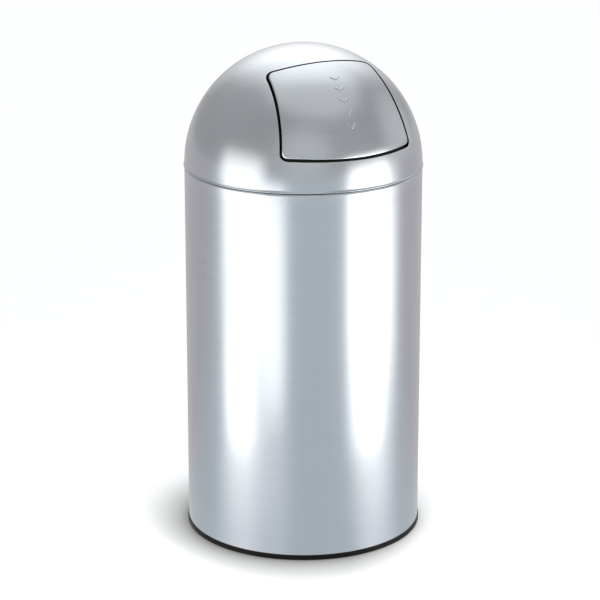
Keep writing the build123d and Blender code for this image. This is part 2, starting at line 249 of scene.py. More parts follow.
def times(first, *others):
    """Values or sockets multiplied."""
    for other in others:
        first = maths("MULTIPLY", first, other)
    return first


def plus(first, *others):
    """Values or sockets added up."""
    for other in others:
        first = maths("ADD", first, other)
    return first


def minus(first, second):
    """One value or socket less another."""
    return maths("SUBTRACT", first, second)


def over(first, second):
    """One value or socket divided by another."""
    return maths("DIVIDE", first, second)


def apart(vector):
    """The outputs X, Y and Z of a vector."""
    return put("ShaderNodeSeparateXYZ", {"Vector": vector}).outputs


def together(x=0.0, y=0.0, z=0.0):
    """The vector of three values or sockets."""
    return got("ShaderNodeCombineXYZ", {"X": x, "Y": y, "Z": z})


def vectors(how, first, second, result="Vector"):
    """The result of a Vector Math node on two vectors."""
    return got("ShaderNodeVectorMath", {0: first, 1: second}, result, operation=how)


def along(vector, way):
    """How far a vector goes along a direction."""
    return vectors("DOT_PRODUCT", vector, way, "Value")


def ranged(value, low, high, to_low=0.0, to_high=1.0, smooth=False):
    """A value moved from one range to another, kept inside it."""
    ends = {"From Min": low, "From Max": high, "To Min": to_low, "To Max": to_high}
    how = "SMOOTHSTEP" if smooth else "LINEAR"
    return got("ShaderNodeMapRange", {"Value": value, **ends}, interpolation_type=how)


def noise(where, scale, detail, result="Fac"):
    """Noise of a scale and detail."""
    values = {"Vector": where, "Scale": scale, "Detail": detail}
    return got("ShaderNodeTexNoise", values, result)


def node_group(kind, name, ins, outs):
    """A node group, what its inputs give and what its outputs take. An input is told by its
    kind of socket or, where it is a number, by its usual value."""
    tree = bpy.data.node_groups.new(name, kind)
    for in_out, sockets in (("INPUT", ins), ("OUTPUT", outs)):
        for label, told in sockets.items():
            holds = "Float" if isinstance(told, float) else told
            made = tree.interface.new_socket(
                label, in_out=in_out, socket_type="NodeSocket" + holds
            )
            if holds != told:
                made.default_value = told
    given, out = tree.nodes.new("NodeGroupInput"), tree.nodes.new("NodeGroupOutput")
    return tree, given.outputs, out.inputs


# --- meshes ---------------------------------------------------------------------------
def cleaned(mesh, source=None, turn_out=True):
    """A mesh, or a copy of another one in it, with its doubles merged, its faces pointing
    outwards and all smooth but its sharp edges."""
    work = bmesh.new()
    work.from_mesh(source or mesh)
    bmesh.ops.remove_doubles(work, verts=work.verts, dist=SAME_POINT)
    loose = [edge for edge in work.edges if not edge.link_faces]
    bmesh.ops.delete(work, geom=loose, context="EDGES")
    if turn_out:
        bmesh.ops.recalc_face_normals(work, faces=work.faces)
    work.to_mesh(mesh)
    work.free()
    mesh.shade_smooth()
    mesh.set_sharp_from_angle(angle=SHARP)
    return mesh


def placed(name, mesh, node=None, body=None, finish=None):
    """An object for a mesh, the CAD node that it stands for and the body
    that it rides on."""
    made = bpy.data.objects.new(name, mesh)
    bpy.context.scene.collection.objects.link(made)
    if finish:
        mesh.materials.append(finish)
    if body:
        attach(made, body)
    if node:
        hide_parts(node)
    return made


def mark_edges(mesh, edge_marks):
    """Stores how strongly each point's edge is lightened, for its material: edge wear, and
    along the flap's low edge a painted highlight as well.
    """
    mesh.attributes.new("edge", "FLOAT", "POINT").data.foreach_set("value", edge_marks)


def from_rings(name, rings, marks, closed, node, body, finish):
    """A piece of rings of equal length, each joined to the next. A mark goes with each ring,
    or with each of its points."""
    count = len(rings[0])
    faces = []
    for i in range(len(rings) if closed else len(rings) - 1):
        a, b = i * count, (i + 1) % len(rings) * count
        for k in range(count):
            m = (k + 1) % count
            faces.append((a + k, a + m, b + m, b + k))
    mesh = bpy.data.meshes.new(name)
    mesh.from_pydata([point for ring in rings for point in ring], [], faces)
    mark_edges(mesh, marks)
    return placed(name, cleaned(mesh), node, body, finish)


def evaluated(name, tree, values, seed_mesh=None):
    """The plain mesh that a geometry node tree makes with these values."""
    seed_mesh = seed_mesh or bpy.data.meshes.new(name + "_seed")
    seed = bpy.data.objects.new(name + "_seed", seed_mesh)
    bpy.context.scene.collection.objects.link(seed)
    modifier = seed.modifiers.new("make", "NODES")
    modifier.node_group = tree
    for item in tree.interface.items_tree:
        if item.item_type == "SOCKET" and item.in_out == "INPUT" and item.name in values:
            modifier[item.identifier] = values[item.name]
    bpy.context.view_layer.update()
    graph = bpy.context.evaluated_depsgraph_get()
    mesh = bpy.data.meshes.new_from_object(seed.evaluated_get(graph), depsgraph=graph)
    seed.modifiers.clear()
    bpy.data.objects.remove(seed)
    bpy.data.meshes.remove(seed_mesh)
    mesh.name = name
    while not mesh.materials[0]:
        mesh.materials.pop(index=0)  # the empty slot that a grid or a ball brings
    return mesh


# --- geometry node trees --------------------------------------------------------------
def geometry_tree(name, count, *sizes):
    """A geometry node tree with inputs for its count, its sizes and its finish."""
    ins = {"Geometry": "Geometry", count: "Int", **dict.fromkeys(sizes, "Float")}
    ins["Finish"] = "Material"
    return node_group("GeometryNodeTree", name, ins, {"Geometry": "Geometry"})


def ended(tree, geometry, given, out):
    """Ends a geometry node tree: its instances made real, and its finish given."""
    real = got("GeometryNodeRealizeInstances", {"Geometry": geometry})
    last = {"Geometry": real, "Material": given["Finish"]}
    feed(out, {"Geometry": got("GeometryNodeSetMaterial", last)})
    return tree


def lathe_tree():
    """A closed profile, given as points in the XZ plane with their edge marks, turned about
    the upright axis. A grid has a row for each turn, and its ends meet."""
    tree, given, out = geometry_tree("turned_about_axis", "Rounds")
    profile, rounds = given["Geometry"], given["Rounds"]
    count = got("GeometryNodeAttributeDomainSize", {"Geometry": profile}, "Point Count")
    length = plus(count, 1.0)
    grid = got(
        "GeometryNodeMeshGrid", {"Vertices X": plus(rounds, 1.0), "Vertices Y": length}
    )
    index = got("GeometryNodeInputIndex", tree=tree)
    row = maths("FLOOR", over(index, length))
    within = maths("MODULO", minus(index, times(row, length)), count)
    turn = times(over(maths("MODULO", row, rounds), rounds), 2 * pi)

    def of_profile(kind, value):
        """A value of the profile's at the grid's point."""
        values = {"Geometry": profile, "Value": value, "Index": within}
        return got("GeometryNodeSampleIndex", values, data_type=kind)

    at = apart(of_profile("FLOAT_VECTOR", got("GeometryNodeInputPosition", tree=tree)))
    x = times(maths("SINE", turn), at["X"])
    y = times(maths("COSINE", turn), at["X"], -1.0)
    place = {"Geometry": grid, "Position": together(x, y, at["Z"])}
    wall = got("GeometryNodeSetPosition", place)
    name = {"Name": "edge"}
    mark = got("GeometryNodeInputNamedAttribute", name, tree=tree, data_type="FLOAT")
    edge = {"Geometry": wall, "Value": of_profile("FLOAT", mark), **name}
    marked = got("GeometryNodeStoreNamedAttribute", edge, data_type="FLOAT", domain="POINT")
    return ended(tree, marked, given, out)


def row_of(thing, count, place, **turn):
    """A number of copies of a thing, each at the place and turn that its index gives."""
    row = {"Geometry": got("GeometryNodeMeshLine", {"Count": count}), "Position": place}
    points = got("GeometryNodeSetPosition", row)
    copies = {"Points": points, "Instance": thing, **turn}
    return got("GeometryNodeInstanceOnPoints", copies)


def flattened(geometry, x=1.0, z=1.0):
    """A geometry scaled along X and Z, and shaded smooth."""
    scaled = {"Geometry": geometry, "Scale": together(x, 1.0, z)}
    flat = got("GeometryNodeTransform", scaled)
    return got("GeometryNodeSetShadeSmooth", {"Geometry": flat})


def push_mark_tree():
    """Raised chevrons one above another up the dome's front, with rounded tips."""
    tree, given, out = geometry_tree(
        "push_mark_row", "Count", "Lowest Angle", "Highest Angle", "Reach", "Centre Height",
        "Width", "Drop", "Arm", "Rise",
    )
    half, half_arm = times(given["Width"], 0.5), times(given["Arm"], 0.5)
    ends = {"Start": together(times(half, -1.0)), "End": together(half)}
    line = got("GeometryNodeCurvePrimitiveLine", ends)
    fine = got("GeometryNodeResampleCurve", {"Curve": line, "Count": 33})
    x = maths("ABSOLUTE", apart(got("GeometryNodeInputPosition", tree=tree))["X"])
    lift = plus(times(over(x, half), given["Drop"]), half_arm)
    lifted = {"Geometry": fine, "Offset": together(y=lift)}
    bent = got("GeometryNodeSetPosition", lifted)
    share = got("GeometryNodeSplineParameter", tree=tree)
    from_bend = maths("ABSOLUTE", minus(times(share, 2.0), 1.0))
    left_over = minus(1.0, maths("POWER", from_bend, 10.0))
    taper = maths("SQRT", maths("MAXIMUM", left_over, 0.02))
    circle = {"Resolution": 16, "Radius": half_arm}
    section = got("GeometryNodeCurvePrimitiveCircle", circle)
    sweep = {"Curve": bent, "Profile Curve": section, "Scale": taper, "Fill Caps": True}
    swept = got("GeometryNodeCurveToMesh", sweep)
    chevron = flattened(swept, z=over(given["Rise"], half_arm))

    index, lowest = got("GeometryNodeInputIndex", tree=tree), given["Lowest Angle"]
    step = over(minus(given["Highest Angle"], lowest), minus(given["Count"], 1.0))
    angle = plus(lowest, times(index, step))
    y = times(maths("COSINE", angle), given["Reach"], -1.0)
    z = times(maths("SINE", angle), given["Reach"])
    place = together(y=y, z=plus(z, given["Centre Height"]))
    lean = {"Euler": together(minus(pi / 2, angle))}
    turn = got("FunctionNodeEulerToRotation", lean)
    row = row_of(chevron, given["Count"], place, Rotation=turn)
    return ended(tree, row, given, out)


def rivet_tree():
    """Domed rivet heads down both ears, inside and outside."""
    tree, given, out = geometry_tree(
        "ear_rivet_heads", "Count", "Pitch", "Top Height", "Outer Reach", "Taper",
        "Inner Reach", "Head Radius", "Head Depth",
    )
    ball = {"Segments": 32, "Rings": 16, "Radius": given["Head Radius"]}
    flatter = over(given["Head Depth"], given["Head Radius"])
    head = flattened(got("GeometryNodeMeshUVSphere", ball), x=flatter)
    rows = put("GeometryNodeJoinGeometry", tree=tree)
    drop = times(got("GeometryNodeInputIndex", tree=tree), given["Pitch"])
    height = minus(given["Top Height"], drop)
    outer = minus(given["Outer Reach"], times(drop, given["Taper"]))
    for side in (1.0, -1.0):
        for reach in (outer, given["Inner Reach"]):
            place = together(times(reach, side), z=height)
            tree.links.new(row_of(head, given["Count"], place), rows.inputs[0])
    return ended(tree, rows.outputs[0], given, out)


# --- shader node groups ---------------------------------------------------------------
def shader_group(name, ins, *outs):
    """A shader node group that reads a vector and named numbers and gives named numbers."""
    return node_group(
        "ShaderNodeTree", name, {"Vector": "Vector", **ins}, dict.fromkeys(outs, "Float")
    )


def make_satin_grain():
    """Fine lines left round the bin's axis by belt and spinning lathe."""
    tree, given, out = shader_group(
        "satin_grain", {"Across": 0.0, "Fineness": 2600.0, "Run": 22.0}, "Height", "Streak"
    )
    at = apart(given["Vector"])
    x, y = (times(at[way], given["Run"]) for way in ("X", "Y"))
    z = times(given["Across"], given["Fineness"])
    fine = noise(together(x, y, z), 1.0, 3.0)
    broad = noise(together(x, y, times(z, 0.22)), 1.0, 2.0)
    feed(out, {"Height": fine, "Streak": ranged(broad, 0.3, 0.7)})
    return tree


def make_handling():
    """Faint cloudy marks where hands and cloths have been."""
    tree, given, out = shader_group("handling_marks", {"Size": 0.03}, "Mask")
    scale = over(1.0, given["Size"])
    cloud = noise(given["Vector"], scale, 2.0)
    patch = noise(given["Vector"], times(scale, 0.35), 1.0)
    feed(out, {"Mask": times(ranged(cloud, 0.35, 0.75), ranged(patch, 0.35, 0.7))})
    return tree


def make_edge_wear_and_highlight():
    """Where a piece's marked edges are lightened, broken up along them: edge wear, and on the
    flap's low edge a painted highlight.
    """
    tree, given, out = shader_group("edge_wear_and_highlight_group", {"Edge": 0.0, "Breaks": 240.0}, "Mask")
    broken = noise(given["Vector"], given["Breaks"], 3.0)
    feed(out, {"Mask": times(given["Edge"], ranged(broken, 0.35, 0.6, 0.25, 1.0))})
    return tree


def make_dust():
    """Dust that settles on faces that look up."""
    tree, given, out = shader_group("settled_dust", {"Grain": 1800.0}, "Mask")
    up = apart(got("ShaderNodeNewGeometry", tree=tree, result="Normal"))["Z"]
    specks = noise(given["Vector"], given["Grain"], 2.0)
    drift = noise(given["Vector"], 38.0, 3.0)
    mask = times(ranged(up, 0.45, 1.0), ranged(specks, 0.5, 0.72))
    feed(out, {"Mask": times(mask, ranged(drift, 0.35, 0.65, 0.2, 1.0))})
    return tree


def make_moulded_skin():
    """The etched skin of a plastic moulding, with its slow unevenness."""
    tree, given, out = shader_group("moulded_skin", {"Etch": 2600.0}, "Height", "Cloud")
    where = {"Vector": given["Vector"], "Scale": given["Etch"]}
    etch = got("ShaderNodeTexVoronoi", where, "Distance", feature="SMOOTH_F1")
    cloud = ranged(noise(given["Vector"], 60.0, 4.0), 0.3, 0.7)
    feed(out, {"Height": etch, "Cloud": cloud})
    return tree


def make_zinc_spangle():
    """Crystals of a hot-dipped zinc coat, each with a shade of its own."""
    tree, given, out = shader_group("zinc_spangle", {"Crystal": 0.006}, "Shade", "Height")
    scale = over(1.0, given["Crystal"])
    bend = noise(given["Vector"], scale, 2.0, "Color")
    bend = vectors("MULTIPLY", bend, (2.2 * MM,) * 3)
    where = vectors("ADD", given["Vector"], bend)
    cells = put("ShaderNodeTexVoronoi", {"Vector": where, "Scale": scale}).outputs
    tone = got("ShaderNodeSeparateColor", {"Color": cells["Color"]})
    feathers = noise(cells["Position"], 900.0, 3.0)
    shade = plus(times(tone, 0.75), times(feathers, 0.25))
    feed(out, {"Shade": shade, "Height": cells["Distance"]})
    return tree


def make_lengthwise_seam():
    """A sheet's welded seam down the back of the bin: its rippled bead, and the tint that
    the heat left beside it."""
    tree, given, out = shader_group("lengthwise_seam", {"Width": 1.2 * MM}, "Bead", "Tint")
    at = apart(given["Vector"])
    back = ranged(at["Y"], 0.0, 0.01)
    off = maths("ABSOLUTE", at["X"])
    waves = {"Vector": given["Vector"], "Scale": 260.0, "Distortion": 2.0, "Detail": 2.0}
    ripple = got("ShaderNodeTexWave", waves, "Fac", bands_direction="Z")
    width = given["Width"]
    bead = ranged(off, width, 0.0, smooth=True)
    tint = ranged(off, times(width, 4.0), width, smooth=True)
    rippled = times(bead, ranged(ripple, 0.0, 1.0, 0.75, 1.0), back)
    feed(out, {"Bead": rippled, "Tint": times(tint, back)})
    return tree


satin_grain = make_satin_grain()
handling_marks = make_handling()
edge_wear_and_highlight_group = make_edge_wear_and_highlight()
settled_dust = make_dust()
moulded_skin = make_moulded_skin()
zinc_spangle = make_zinc_spangle()
lengthwise_seam = make_lengthwise_seam()


# --- materials ------------------------------------------------------------------------
def colour(red, green, blue):
    """A colour as a socket takes it."""
    return (red, green, blue, 1.0)


def blank(name):
    """A new material and its object coordinates."""
    made = bpy.data.materials.new(name)
    made.use_nodes = True
    return made, got("ShaderNodeTexCoord", tree=made.node_tree, result="Object")


def group(which, place, **inputs):
    """What a shader node group gives at a place, with its inputs' values or links."""
    return put("ShaderNodeGroup", {"Vector": place, **inputs}, node_tree=which).outputs


def edge_wear_and_highlight_mask(place):
    """Where a piece's marked edges are worn, and on the flap's low edge painted with a
    highlight.
    """
    tree = place.id_data
    mark = got("ShaderNodeAttribute", tree=tree, result="Fac", attribute_name="edge")
    return group(edge_wear_and_highlight_group, place, Edge=mark)["Mask"]


def mixed(share, first, second):
    """Two colours mixed by a share."""
    made = put("ShaderNodeMix", tree=share.id_data, data_type="RGBA")
    inputs = {socket.identifier: socket for socket in made.inputs}
    feed(inputs, {"Factor_Float": share, "A_Color": first, "B_Color": second})
    return next(o for o in made.outputs if o.identifier == "Result_Color")


def stained(shade, mask, share, stain):
    """A colour with a share of another laid over it by a mask."""
    return mixed(times(mask, share), shade, stain)


def dressed(made, shade, roughness, height, strength, depth, **fixed):
    """A material with its shader's colour, roughness and bump, and what is fixed on it."""
    relief = {"Strength": strength, "Distance": depth, "Height": height}
    bump = got("ShaderNodeBump", relief)
    inputs = made.node_tree.nodes["Principled BSDF"].inputs
    feed(inputs, {"Base Color": shade, "Roughness": roughness, "Normal": bump, **fixed})
    return made


METAL = {"Metallic": 1.0}
SATIN_ROUGHNESS = (0.234, 0.248)  # between the grain's lines and along them


def satin_steel(name, dome=False, seam_down_back=False, wear_and_highlight_share=0.35):
    """Stainless sheet with a fine satin grain round the bin's axis."""
    made, place = blank(name)
    across = apart(place)["Z"]
    if dome:
        up = over(minus(across, dome_centre), body_radius)
        up = maths("MINIMUM", maths("MAXIMUM", up, -1.0), 1.0)
        across = times(maths("ARCSINE", up), body_radius)
    grain = group(satin_grain, place, Across=across)
    hands = group(handling_marks, place, Size=0.032)["Mask"]
    dust = group(settled_dust, place)["Mask"]
    streak = grain["Streak"]
    shade = mixed(streak, colour(0.472, 0.524, 0.568), colour(0.484, 0.536, 0.579))
    shade = stained(shade, hands, 0.2, colour(0.445, 0.49, 0.53))
    # edges lightened: wear, and on the flap a painted highlight along its low edge
    shade = stained(shade, edge_wear_and_highlight_mask(place), wear_and_highlight_share, colour(0.84, 0.87, 0.90))
    roughness = ranged(streak, 0.0, 1.0, *SATIN_ROUGHNESS)
    roughness = plus(roughness, times(hands, 0.03), times(dust, 0.05))
    height = times(grain["Height"], 0.1)
    if seam_down_back:
        weld = group(lengthwise_seam, place)
        height = plus(height, times(weld["Bead"], 8.0))
        shade = stained(shade, weld["Tint"], 0.35, colour(0.47, 0.43, 0.36))
        roughness = plus(roughness, times(weld["Tint"], 0.08))
    return dressed(made, shade, roughness, height, 0.25, 0.02 * MM, **METAL)


def plain_metal(name, tone, rough, warmth=0.0, grit=900.0):
    """Bare or plated metal with a soft, uneven surface."""
    made, place = blank(name)
    hands = group(handling_marks, place, Size=0.012)["Mask"]
    skin = group(moulded_skin, place, Etch=grit)
    base = (tone + warmth, tone + warmth * 0.4, tone - warmth)
    dull = colour(*(0.78 * value for value in base))
    bare = colour(*[min(1, tone * 1.35)] * 3)
    shade = mixed(skin["Cloud"], dull, colour(*base))
    shade = stained(shade, edge_wear_and_highlight_mask(place), 0.4, bare)
    roughness = ranged(skin["Cloud"], 0.0, 1.0, rough + 0.06, rough - 0.03)
    roughness = plus(roughness, times(hands, 0.08))
    return dressed(made, shade, roughness, skin["Height"], 0.3, 0.04 * MM, **METAL)


def galvanised(name, crystal, seam_down_back=False):
    """Zinc-coated steel with its spangle."""
    made, place = blank(name)
    spangle = group(zinc_spangle, place, Crystal=crystal)
    hands = group(handling_marks, place, Size=0.03)["Mask"]
    tone, height = spangle["Shade"], spangle["Height"]
    shade = mixed(tone, colour(0.40, 0.42, 0.44), colour(0.62, 0.64, 0.66))
    shade = stained(shade, hands, 0.35, colour(0.46, 0.47, 0.48))
    roughness = plus(ranged(tone, 0.0, 1.0, 0.46, 0.32), times(hands, 0.12))
    if seam_down_back:
        weld = group(lengthwise_seam, place, Width=1.6 * MM)
        height = plus(height, times(weld["Bead"], 6.0))
        shade = stained(shade, weld["Tint"], 0.3, colour(0.36, 0.36, 0.36))
    shade = stained(shade, edge_wear_and_highlight_mask(place), 0.3, colour(0.7, 0.71, 0.72))
    return dressed(made, shade, roughness, height, 0.35, 0.06 * MM, **METAL)


def black_moulding(name, tone=0.014, rough=0.42, etch=2600.0, depth=0.03 * MM, shine=0.5):
    """Black moulded plastic or rubber, etched, scuffed along its edges and a little dusty."""
    made, place = blank(name)
    skin = group(moulded_skin, place, Etch=etch)
    hands = group(handling_marks, place, Size=0.02)["Mask"]
    dust = group(settled_dust, place)["Mask"]
    deep, usual, scuffed = (
        colour(*(tone * value for value in shares))
        for shares in ((0.8, 0.8, 0.85), (1.15, 1.15, 1.25), (3.5, 3.5, 3.6))
    )
    shade = mixed(skin["Cloud"], deep, usual)
    shade = stained(shade, edge_wear_and_highlight_mask(place), 0.3, scuffed)
    shade = stained(shade, dust, 0.12, colour(0.3, 0.29, 0.27))
    roughness = ranged(skin["Cloud"], 0.0, 1.0, rough - 0.04, rough + 0.06)
    roughness = plus(roughness, times(hands, -0.06))
    fixed = {"Metallic": 0.0, "Specular IOR Level": shine}
    return dressed(made, shade, roughness, skin["Height"], 0.4, depth, **fixed)


body_finish = satin_steel("satin_body_steel", seam_down_back=True)
dome_finish = satin_steel("satin_dome_steel", dome=True)
# the flap's edges are lightened more than the dome's: wear, and a painted highlight along its
# rolled low edge
flap_finish = satin_steel("satin_flap_steel", dome=True, wear_and_highlight_share=0.6)
pan_finish = galvanised("galvanised_pan", 4 * MM)
ring_finish = black_moulding("black_ring_plastic", tone=0.003, rough=0.45, shine=0.12)
collar_finish = black_moulding("black_collar_plastic")
carrier_finish = black_moulding("black_carrier_plastic", tone=0.005, rough=0.5, shine=0.2)
cap_finish = black_moulding("black_cap_plastic", tone=0.018)
rubber_finish = black_moulding(
    "bumper_rubber", tone=0.012, rough=0.72, etch=1500.0, depth=0.06 * MM
)
bracket_finish = plain_metal("zinc_bracket_steel", 0.60, 0.34, warmth=0.01)
rod_finish = plain_metal("drawn_rod_steel", 0.62, 0.22, grit=2400.0)
spring_finish = plain_metal("dark_spring_wire", 0.30, 0.34, warmth=0.01, grit=2400.0)
bucket_finish = galvanised("galvanised_bucket", 7 * MM, seam_down_back=True)
ear_finish = galvanised("galvanised_ear", 4 * MM)
rivet_finish = plain_metal("pressed_rivet_aluminium", 0.74, 0.36)
wire_finish = plain_metal("galvanised_bail_wire", 0.56, 0.36, grit=1600.0)

# --- CAD nodes that keep their shape --------------------------------------------------
for finish, nodes in (
    (bracket_finish, ("hinge_bracket_left", "hinge_bracket_right")),
    (rod_finish, ("hinge_rod",)),
    (cap_finish, ("rod_cap_left", "rod_cap_right")),
    (carrier_finish, ("flap_carrier",)),
    (rubber_finish, ("flap_bumper_left", "flap_bumper_right")),
    (ear_finish, ("bail_ear_left", "bail_ear_right")),
    (wire_finish, ("bail",)),
):
    for node in nodes:
        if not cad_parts[node].material_slots:
            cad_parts[node].data.materials.append(finish)
        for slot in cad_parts[node].material_slots:
            slot.link = "OBJECT"
            slot.material = finish

# each return spring is a cleaned copy of its CAD node with its placing baked in; on the real
# bin its front leg turns with the flap, its back leg stays and its coil winds up
for side in ("left", "right"):
    mesh = cleaned(
        bpy.data.meshes.new(f"wound_spring_{side}"),
        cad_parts[f"return_spring_{side}"].data,
        turn_out=False,
    )
    spring = placed(
        f"wound_spring_{side}", mesh, f"return_spring_{side}",
        finish=spring_finish,
    )
    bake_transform(spring)


# --- pieces turned about the bin's axis -----------------------------------------------
lathe = lathe_tree()


def turned(name, profile, node, body, finish):
    """A piece turned about the bin's axis from a closed profile. A point is on an edge where
    the profile bends sharply beside it."""
    line = [Vector(point) for point in profile]
    bends = []
    for k, here in enumerate(line):
        run, next_run = here - line[k - 1], line[(k + 1) % len(line)] - here
        bends.append(run.angle(next_run, 0) if here.x > SAME_POINT else 0)
    edge_marks = []
    for here in line:
        near = [bend for bend, point in zip(bends, line) if (point - here).length < EDGE_REACH]
        edge_marks.append(min(1, sum(near) / FULL_BEND))
    seed = bpy.data.meshes.new(name + "_profile")
    seed.from_pydata([(x, 0, z) for x, z in profile], [], [])
    mark_edges(seed, edge_marks)
    mesh = evaluated(name, lathe, {"Rounds": ROUND, "Finish": finish}, seed)
    return placed(name, cleaned(mesh), node, body)


curl = arc(
    (body_radius - body_bead, body_height - body_bead), body_bead - body_sheet / 2, 270, -270,
    BODY_CURL_STEPS,
)
middle_line = body_radius - body_sheet / 2
wall_foot = ring_foot + FOOT_RUN
wall = divided([curl[-1], (middle_line, wall_foot)], LONGEST_RUN) + [(middle_line, ring_foot)]
turned(
    "body_wall", sheet(curl + wall[1:], body_sheet), "body_shell", "bin",
    body_finish,
)

pan_wall = body_inside - seated_gap - pan_sheet / 2
pan_floor = pan_height - pan_sheet / 2
pan_line = rounded(
    [(0, pan_floor), (pan_wall, pan_floor), (pan_wall, ring_foot)], pan_corner, closed=False
)
turned(
    "pressed_pan", sheet(divided(pan_line, SHORT_RUN), pan_sheet), "body_base",
    "bin", pan_finish,
)

lip_outside = body_inside - pan_sheet - 2 * seated_gap
ring_grip = pan_floor - pan_corner
ring_profile = [
    (body_inside - ring_foot_width, 0, 0.4 * MM),
    (body_radius + ring_proud, 0, 0.35 * MM),
    (body_radius + ring_proud, ring_visible, 0.3 * MM),
    (body_radius + seated_gap, ring_visible, 0.05 * MM),
    (body_radius + seated_gap, ring_foot),
    (lip_outside, ring_foot),
    (lip_outside, ring_grip, 0.2 * MM),
    (lip_outside - ring_lip, ring_grip, 0.3 * MM),
    (lip_outside - ring_lip, ring_foot, 0.3 * MM),
    (body_inside - ring_foot_width, ring_foot, 0.4 * MM),
]
turned("foot_ring", rounded(ring_profile), "base_ring", "bin", ring_finish)


# --- lid ------------------------------------------------------------------------------
def along_dome(angle):
    """Distance in the flap's plane that an angle up or across the dome covers."""
    return body_radius * sin(radians(angle))


def bow(half, at_side, at_middle):
    """Height of the centre of a bowed end, which passes its corners and its middle."""
    return (half**2 + at_side**2 - at_middle**2) / (2 * (at_side - at_middle))


def flap_outline(side, low, high):
    """Even points round the flap's outline in its plane, grown at its sides, low end and
    high end, from the middle of its low edge towards +X."""
    half_low, half_high = along_dome(flap_half_low) + side, along_dome(flap_half_high) + side
    low_side, low_middle = along_dome(flap_low_side) - low, along_dome(flap_low_middle) - low
    high_side = along_dome(flap_high_side) + high
    high_middle = along_dome(flap_high_middle) + high
    low_bow = Vector((0, bow(half_low, low_side, low_middle)))
    high_bow = Vector((0, bow(half_high, high_side, high_middle)))
    foot, head = Vector((half_low, low_side)), Vector((half_high, high_side))
    up = (head - foot).normalized()
    inward = Vector((-up.y, up.x))

    def fillet(centre, at_middle, radius, end):
        """Centre of a corner's arc, where it leaves the bow and where it meets the side."""
        bow_radius = abs(centre.y - at_middle)
        start = foot + inward * radius
        off = start - centre
        middle = -off.dot(up)
        root = sqrt(max(0, middle**2 - off.length_squared + (bow_radius - radius) ** 2))
        at = start + up * (middle + end * root)
        return at, centre + (at - centre).normalized() * bow_radius, at - inward * radius

    low_at, low_on, low_leave = fillet(low_bow, low_middle, flap_low_corner + side, -1)
    high_at, high_on, high_leave = fillet(high_bow, high_middle, flap_high_corner + side, 1)
    half_line = between(low_bow, (0, low_middle), low_on, BOW_STEPS)
    half_line += between(low_at, low_on, low_leave, FILLET_STEPS)[1:]
    half_line += [tuple(high_leave)]
    half_line += between(high_at, high_leave, high_on, FILLET_STEPS)[1:]
    half_line += between(high_bow, high_on, (0, high_middle), FILLET_STEPS)[1:]
    whole = half_line + [(-x, y) for x, y in half_line[-2::-1]]

    lengths = [0.0]
    for a, b in zip(whole, whole[1:]):
        lengths.append(lengths[-1] + hypot(b[0] - a[0], b[1] - a[1]))
    out, k = [], 0
    for i in range(EDGE_POINTS):
        want = lengths[-1] * i / EDGE_POINTS
        while lengths[k + 1] < want:
            k += 1
        share = (want - lengths[k]) / (lengths[k + 1] - lengths[k])
        out.append(part_way(whole[k], whole[k + 1], share))
    return out


def opening_outline(margin, top_margin):
    """Outline of the dome's opening, grown by a margin and another one at the hinge side."""
    return flap_outline(side_gap / 2 + margin, low_gap / 2 + margin, hinge_gap / 2 + top_margin)


def panel_outline(inset):
    """Outline of the flap panel, shrunk by an inset."""
    return flap_outline(-side_gap / 2 - inset, -low_gap / 2 - inset, -hinge_gap / 2 - inset)


def on_sphere(x, y, reach):
    """Point of the flap's plane carried out square to it onto a sphere about the dome's
    centre."""
    depth = sqrt(reach**2 - x**2 - y**2)
    return (
        x,
        -depth * cos(punch_angle) + y * sin(punch_angle),
        dome_centre + depth * sin(punch_angle) + y * cos(punch_angle),
    )


def ring_on_sphere(outline, reach):
    """An outline in the flap's plane carried out onto a sphere."""
    return [on_sphere(x, y, reach) for x, y in outline]


# The dome's rings run between the opening and the rim on a flat sheet, onto which the
# dome is projected from the point opposite the opening.
dome_top = Vector((0, 0, dome_centre))
sheet_out = Vector((0, -cos(opening_lift), sin(opening_lift)))
sheet_up = Vector((0, sin(opening_lift), cos(opening_lift)))


def rim_ends():
    """Where straight lines on the sheet, out from the opening's middle, meet the rim."""
    low, high = -tan(opening_lift / 2), tan((pi - opening_lift) / 2)
    centre, radius = (low + high) / 2, (high - low) / 2
    out = []
    for point in ring_on_sphere(opening_outline(0, 0), body_radius):
        p = (Vector(point) - dome_top).normalized()
        q = Vector((p.x, p.dot(sheet_up))).normalized()
        off = q.y * centre
        out.append(q * (off + sqrt(off**2 - centre**2 + radius**2)))
    return out


def dome_rings(outline, reach, steps, ends):
    """Rings on a sphere from an outline in the flap's plane out to the dome's rim, closer
    together near the outline."""
    near = []
    for point in ring_on_sphere(outline, reach):
        d = (Vector(point) - dome_top) / reach
        near.append(Vector((d.x, d.dot(sheet_up))) / (1 + d.dot(sheet_out)))

    def raised(q):
        """A point of the sheet put back onto the sphere."""
        s = q.length_squared
        d = sheet_out * (1 - s) + Vector((2 * q.x, 0, 0)) + sheet_up * (2 * q.y)
        return tuple(dome_top + d / (1 + s) * reach)

    rings = []
    for s in range(steps + 1):
        t = s / steps
        t = t * t * (1.6 - 0.6 * t)
        rings.append([raised(a.lerp(b, t)) for a, b in zip(near, ends)])
    return rings


